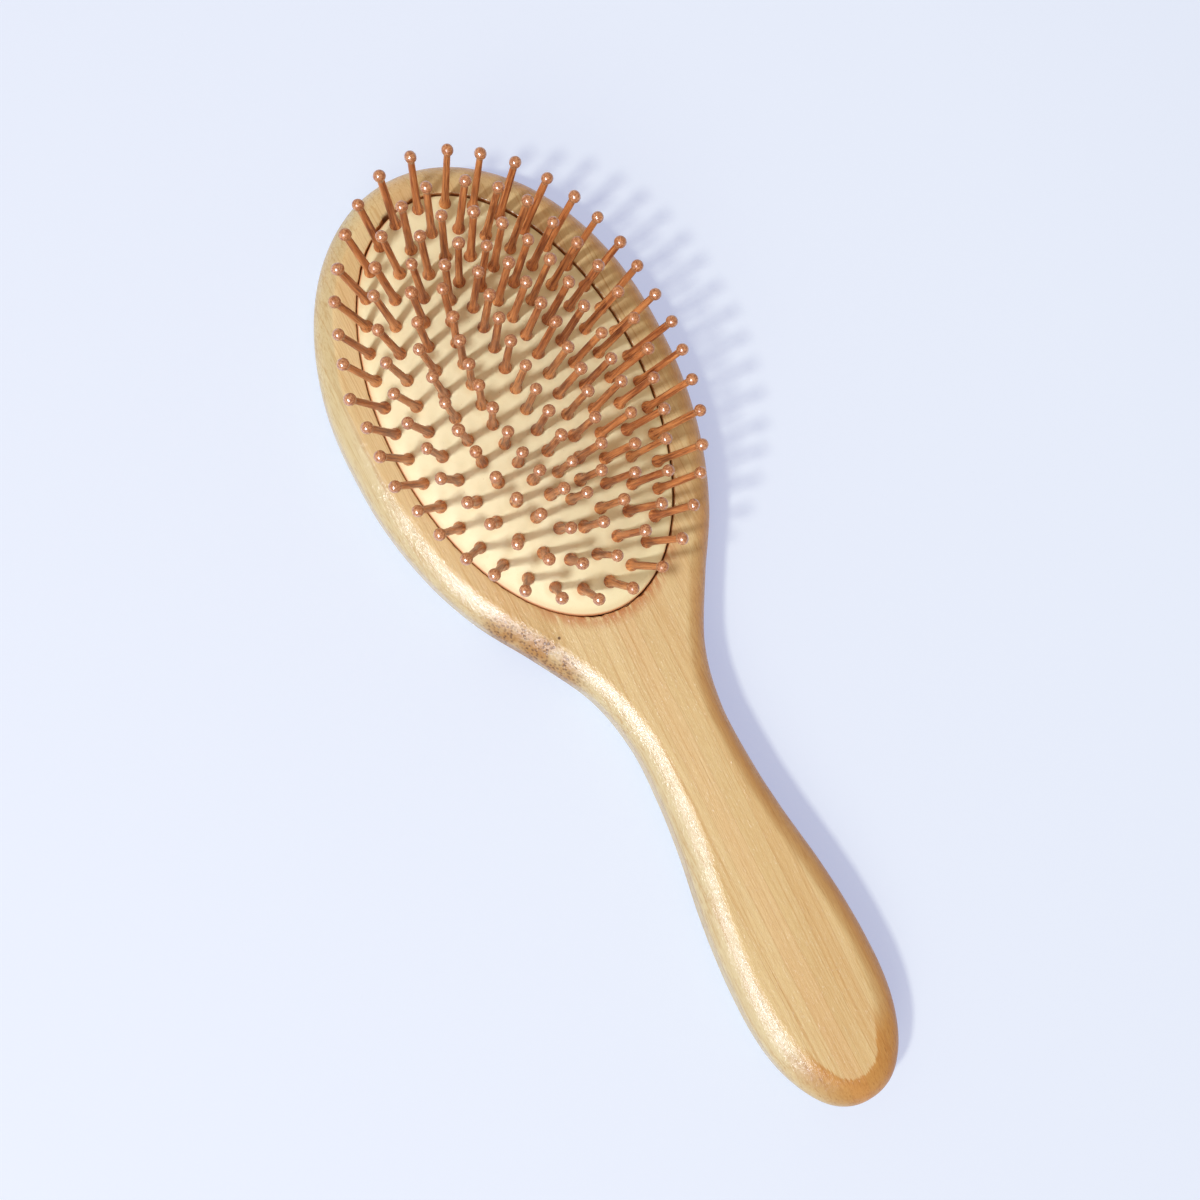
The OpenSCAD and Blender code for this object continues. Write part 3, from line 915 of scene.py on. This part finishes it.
def pin_wood():
    t = Shader("pin_bamboo_carbonised")
    place = t.attribute("pin_co", output="Vector")
    tone = t.attribute("pin_tone")
    ball = t.attribute("pin_ball")
    x, y, z = t.split(place)
    coarse = t.noise(t.combine(x * 1.5, y * 1.5, z * 0.09), detail=3.0, rough=0.6)
    fine = t.noise(t.combine(x * 4.5, y * 4.5, z * 0.22), detail=2.0, rough=0.6)
    broad = t.noise(t.combine(x * 0.6, y * 0.6, z * 0.06), detail=2.0)
    pale_pins = t.math("FRACT", tone * 7.31)
    base = t.mix(tone, srgb(216, 144, 88), srgb(186, 114, 64))
    base = base.paint(srgb(220, 158, 100), pale_pins.step(begin=0.6, end=0.95), strength=0.55)
    base = base.paint(srgb(160, 88, 46), broad.step(begin=0.4, end=0.7), strength=0.40)
    base = base.paint(srgb(132, 68, 34), coarse.step(begin=0.50, end=0.62), strength=0.75)
    base = base.paint(srgb(236, 170, 108), coarse.step(begin=0.47, end=0.34), strength=0.70)
    base = base.paint(srgb(122, 60, 32), fine.step(begin=0.54, end=0.70), strength=0.40)
    # the ball shows cut fibre ends and turning rings
    speckle = t.noise(t.scaled(place, 2.2, 2.2, 2.2), detail=3.0, rough=0.7)
    rings = t.math("SINE", z * 17.0 + speckle * 6.0)
    ball_colour = t.mix(speckle.step(begin=0.36, end=0.62),
                        srgb(224, 174, 134), srgb(158, 96, 62))
    ball_colour = ball_colour.paint(srgb(136, 78, 48), rings.step(begin=0.2, end=1.0),
                                    strength=0.45)
    base = base.paint(ball_colour, ball, strength=0.78)
    relief = (coarse + fine * 0.6) + (speckle * ball) * 1.2
    # some pins are duller, and every stem is duller than its ball
    gloss = t.math("FRACT", tone * 3.77).step(begin=0.08, end=0.3, low=0.2, high=1.0)
    return t.finish({
        "Base Color": base,
        "Roughness": (0.38 + coarse * 0.16) - ball * 0.10,
        "Normal": t.bump(relief, strength=0.35, distance=0.00007),
        "Specular IOR Level": 0.4,
        "Coat Weight": gloss * (0.16 + ball * 0.84),
        "Coat Roughness": 0.16,
        "Coat IOR": 1.68,
    })


WOOD, RUBBER, PIN = bamboo(), rubber(), pin_wood()


# ---------------------------------------------------------------- pieces on the frame
def place_piece(ob, material, carrier, node):
    ob.data.materials.append(material)
    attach(ob, carrier)
    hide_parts(node)


place_piece(back_ply(), WOOD, "bamboo_body", "back_ply")
place_piece(core_ply(), WOOD, "bamboo_body", "core_ply")
place_piece(front_ply(), WOOD, "bamboo_body", "front_ply")

skin = cushion()
skin.data.materials.append(RUBBER)
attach(skin, "bamboo_body")
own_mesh(skin)
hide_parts("rubber_cushion")

seed = 100
for pins, (_, _, count, per_piece, ring_name) in zip(PINS, RINGS):
    for group in range(count // per_piece):
        node = f"{ring_name}_{group + 1:02d}"
        places = pins[group * per_piece:(group + 1) * per_piece]
        place_piece(pin_mesh("wood_" + node, places, seed), PIN, node, node)
        seed += 1


# ---------------------------------------------------------------- floor, in metres
def floor_paper():
    """Pale paper whose glow rises toward +X, away from the lamps."""
    material = bpy.data.materials.new("floor_paper")
    material.use_nodes = True
    nodes, links = material.node_tree.nodes, material.node_tree.links
    geometry = nodes.new("ShaderNodeNewGeometry")
    split = nodes.new("ShaderNodeSeparateXYZ")
    ramp = nodes.new("ShaderNodeMapRange")
    ramp.inputs["From Min"].default_value = -0.17
    ramp.inputs["From Max"].default_value = 0.15
    glow = nodes.new("ShaderNodeMix")
    glow.data_type = "RGBA"
    glow.inputs[6].default_value = (0.23, 0.31, 0.57, 1)
    glow.inputs[7].default_value = (0.29, 0.38, 0.62, 1)
    bsdf = nodes["Principled BSDF"]
    bsdf.inputs["Base Color"].default_value = (0.51, 0.545, 0.47, 1)
    bsdf.inputs["Emission Strength"].default_value = 1.0
    bsdf.inputs["Roughness"].default_value = 0.75
    bsdf.inputs["Specular IOR Level"].default_value = 0.2
    links.new(geometry.outputs["Position"], split.inputs[0])
    links.new(split.outputs[0], ramp.inputs["Value"])
    links.new(ramp.outputs[0], glow.inputs[0])
    links.new(glow.outputs[2], bsdf.inputs["Emission Color"])
    return material


bpy.ops.mesh.primitive_plane_add(size=14.0, location=(0, 0, -0.0001))
floor = bpy.context.object
floor.name = "floor"
floor.data.materials.append(floor_paper())

# ---------------------------------------------------------------- lights, in metres and watts
AIM = Vector((0, -0.03, 0.01))
KEY_WAY = Vector((-0.600, -0.036, 0.800)).normalized()
WINDOW_WAY = Vector((-0.62, -0.48, 0.62)).normalized()
KEY_AWAY, WINDOW_AWAY = 1.5, 2.6


def area(name, way, away, size, power, color, shape="SQUARE"):
    """An area light at a distance in a direction from AIM, facing it."""
    light = bpy.data.lights.new(name, "AREA")
    light.shape = shape
    light.size = size
    light.energy = power
    light.color = color
    ob = bpy.data.objects.new(name, light)
    ob.location = AIM + way * away
    ob.rotation_mode = "QUATERNION"
    ob.rotation_quaternion = (AIM - (AIM + way * away)).to_track_quat("-Z", "Y")
    bpy.context.scene.collection.objects.link(ob)
    return ob


area("key", KEY_WAY, KEY_AWAY, size=0.13, power=5.5 * KEY_AWAY ** 2, color=(1.0, 0.99, 0.965))
area("window", WINDOW_WAY, WINDOW_AWAY, size=1.15, power=1.5 * WINDOW_AWAY ** 2,
     color=(1.0, 0.99, 0.97))
# seen only in gloss: it draws the highlights on the balls and along the round-over
sheen = area("softbox_sheen", WINDOW_WAY.lerp(KEY_WAY, 0.35).normalized(), 2.2, size=0.80,
             power=66.0, color=(0.93, 0.98, 1.10), shape="DISK")
sheen.visible_diffuse = False
sheen.visible_transmission = False
sheen.visible_camera = False


def soft_world():
    """A warm room as light, a pale backdrop to the camera."""
    world = bpy.data.worlds.new("soft")
    world.use_nodes = True
    nodes, links = world.node_tree.nodes, world.node_tree.links
    warm = nodes["Background"]
    warm.inputs["Color"].default_value = (1.0, 0.75, 0.52, 1)
    warm.inputs["Strength"].default_value = 0.53
    pale = nodes.new("ShaderNodeBackground")
    pale.inputs["Color"].default_value = (0.80, 0.84, 0.95, 1)
    path = nodes.new("ShaderNodeLightPath")
    both = nodes.new("ShaderNodeMixShader")
    links.new(path.outputs["Is Camera Ray"], both.inputs[0])
    links.new(warm.outputs[0], both.inputs[1])
    links.new(pale.outputs[0], both.inputs[2])
    links.new(both.outputs[0], nodes["World Output"].inputs[0])
    return world


bpy.context.scene.world = soft_world()
bpy.context.scene.view_settings.view_transform = "Standard"

# ---------------------------------------------------------------- camera
camera = bpy.data.cameras.new("camera")
camera.sensor_width = 36
camera.lens = 42.7995
camera.shift_x = 0.00101667
camera.shift_y = 0.00146667
camera.clip_start = 0.01
camera.clip_end = 20
camera_object = add_object("camera", camera)
# the camera's right, up and backward directions
CAMERA_AXES = Matrix(((0.87575, -0.45640, 0.15732),
                      (0.44244, 0.88918, 0.11664),
                      (-0.19312, -0.03254, 0.98063))).transposed()
CAMERA_PLACE = Vector((-69.94, -62.48, 348.56)) * MM
camera_object.matrix_world = Matrix.Translation(CAMERA_PLACE) @ CAMERA_AXES.to_4x4()
bpy.context.scene.camera = camera_object
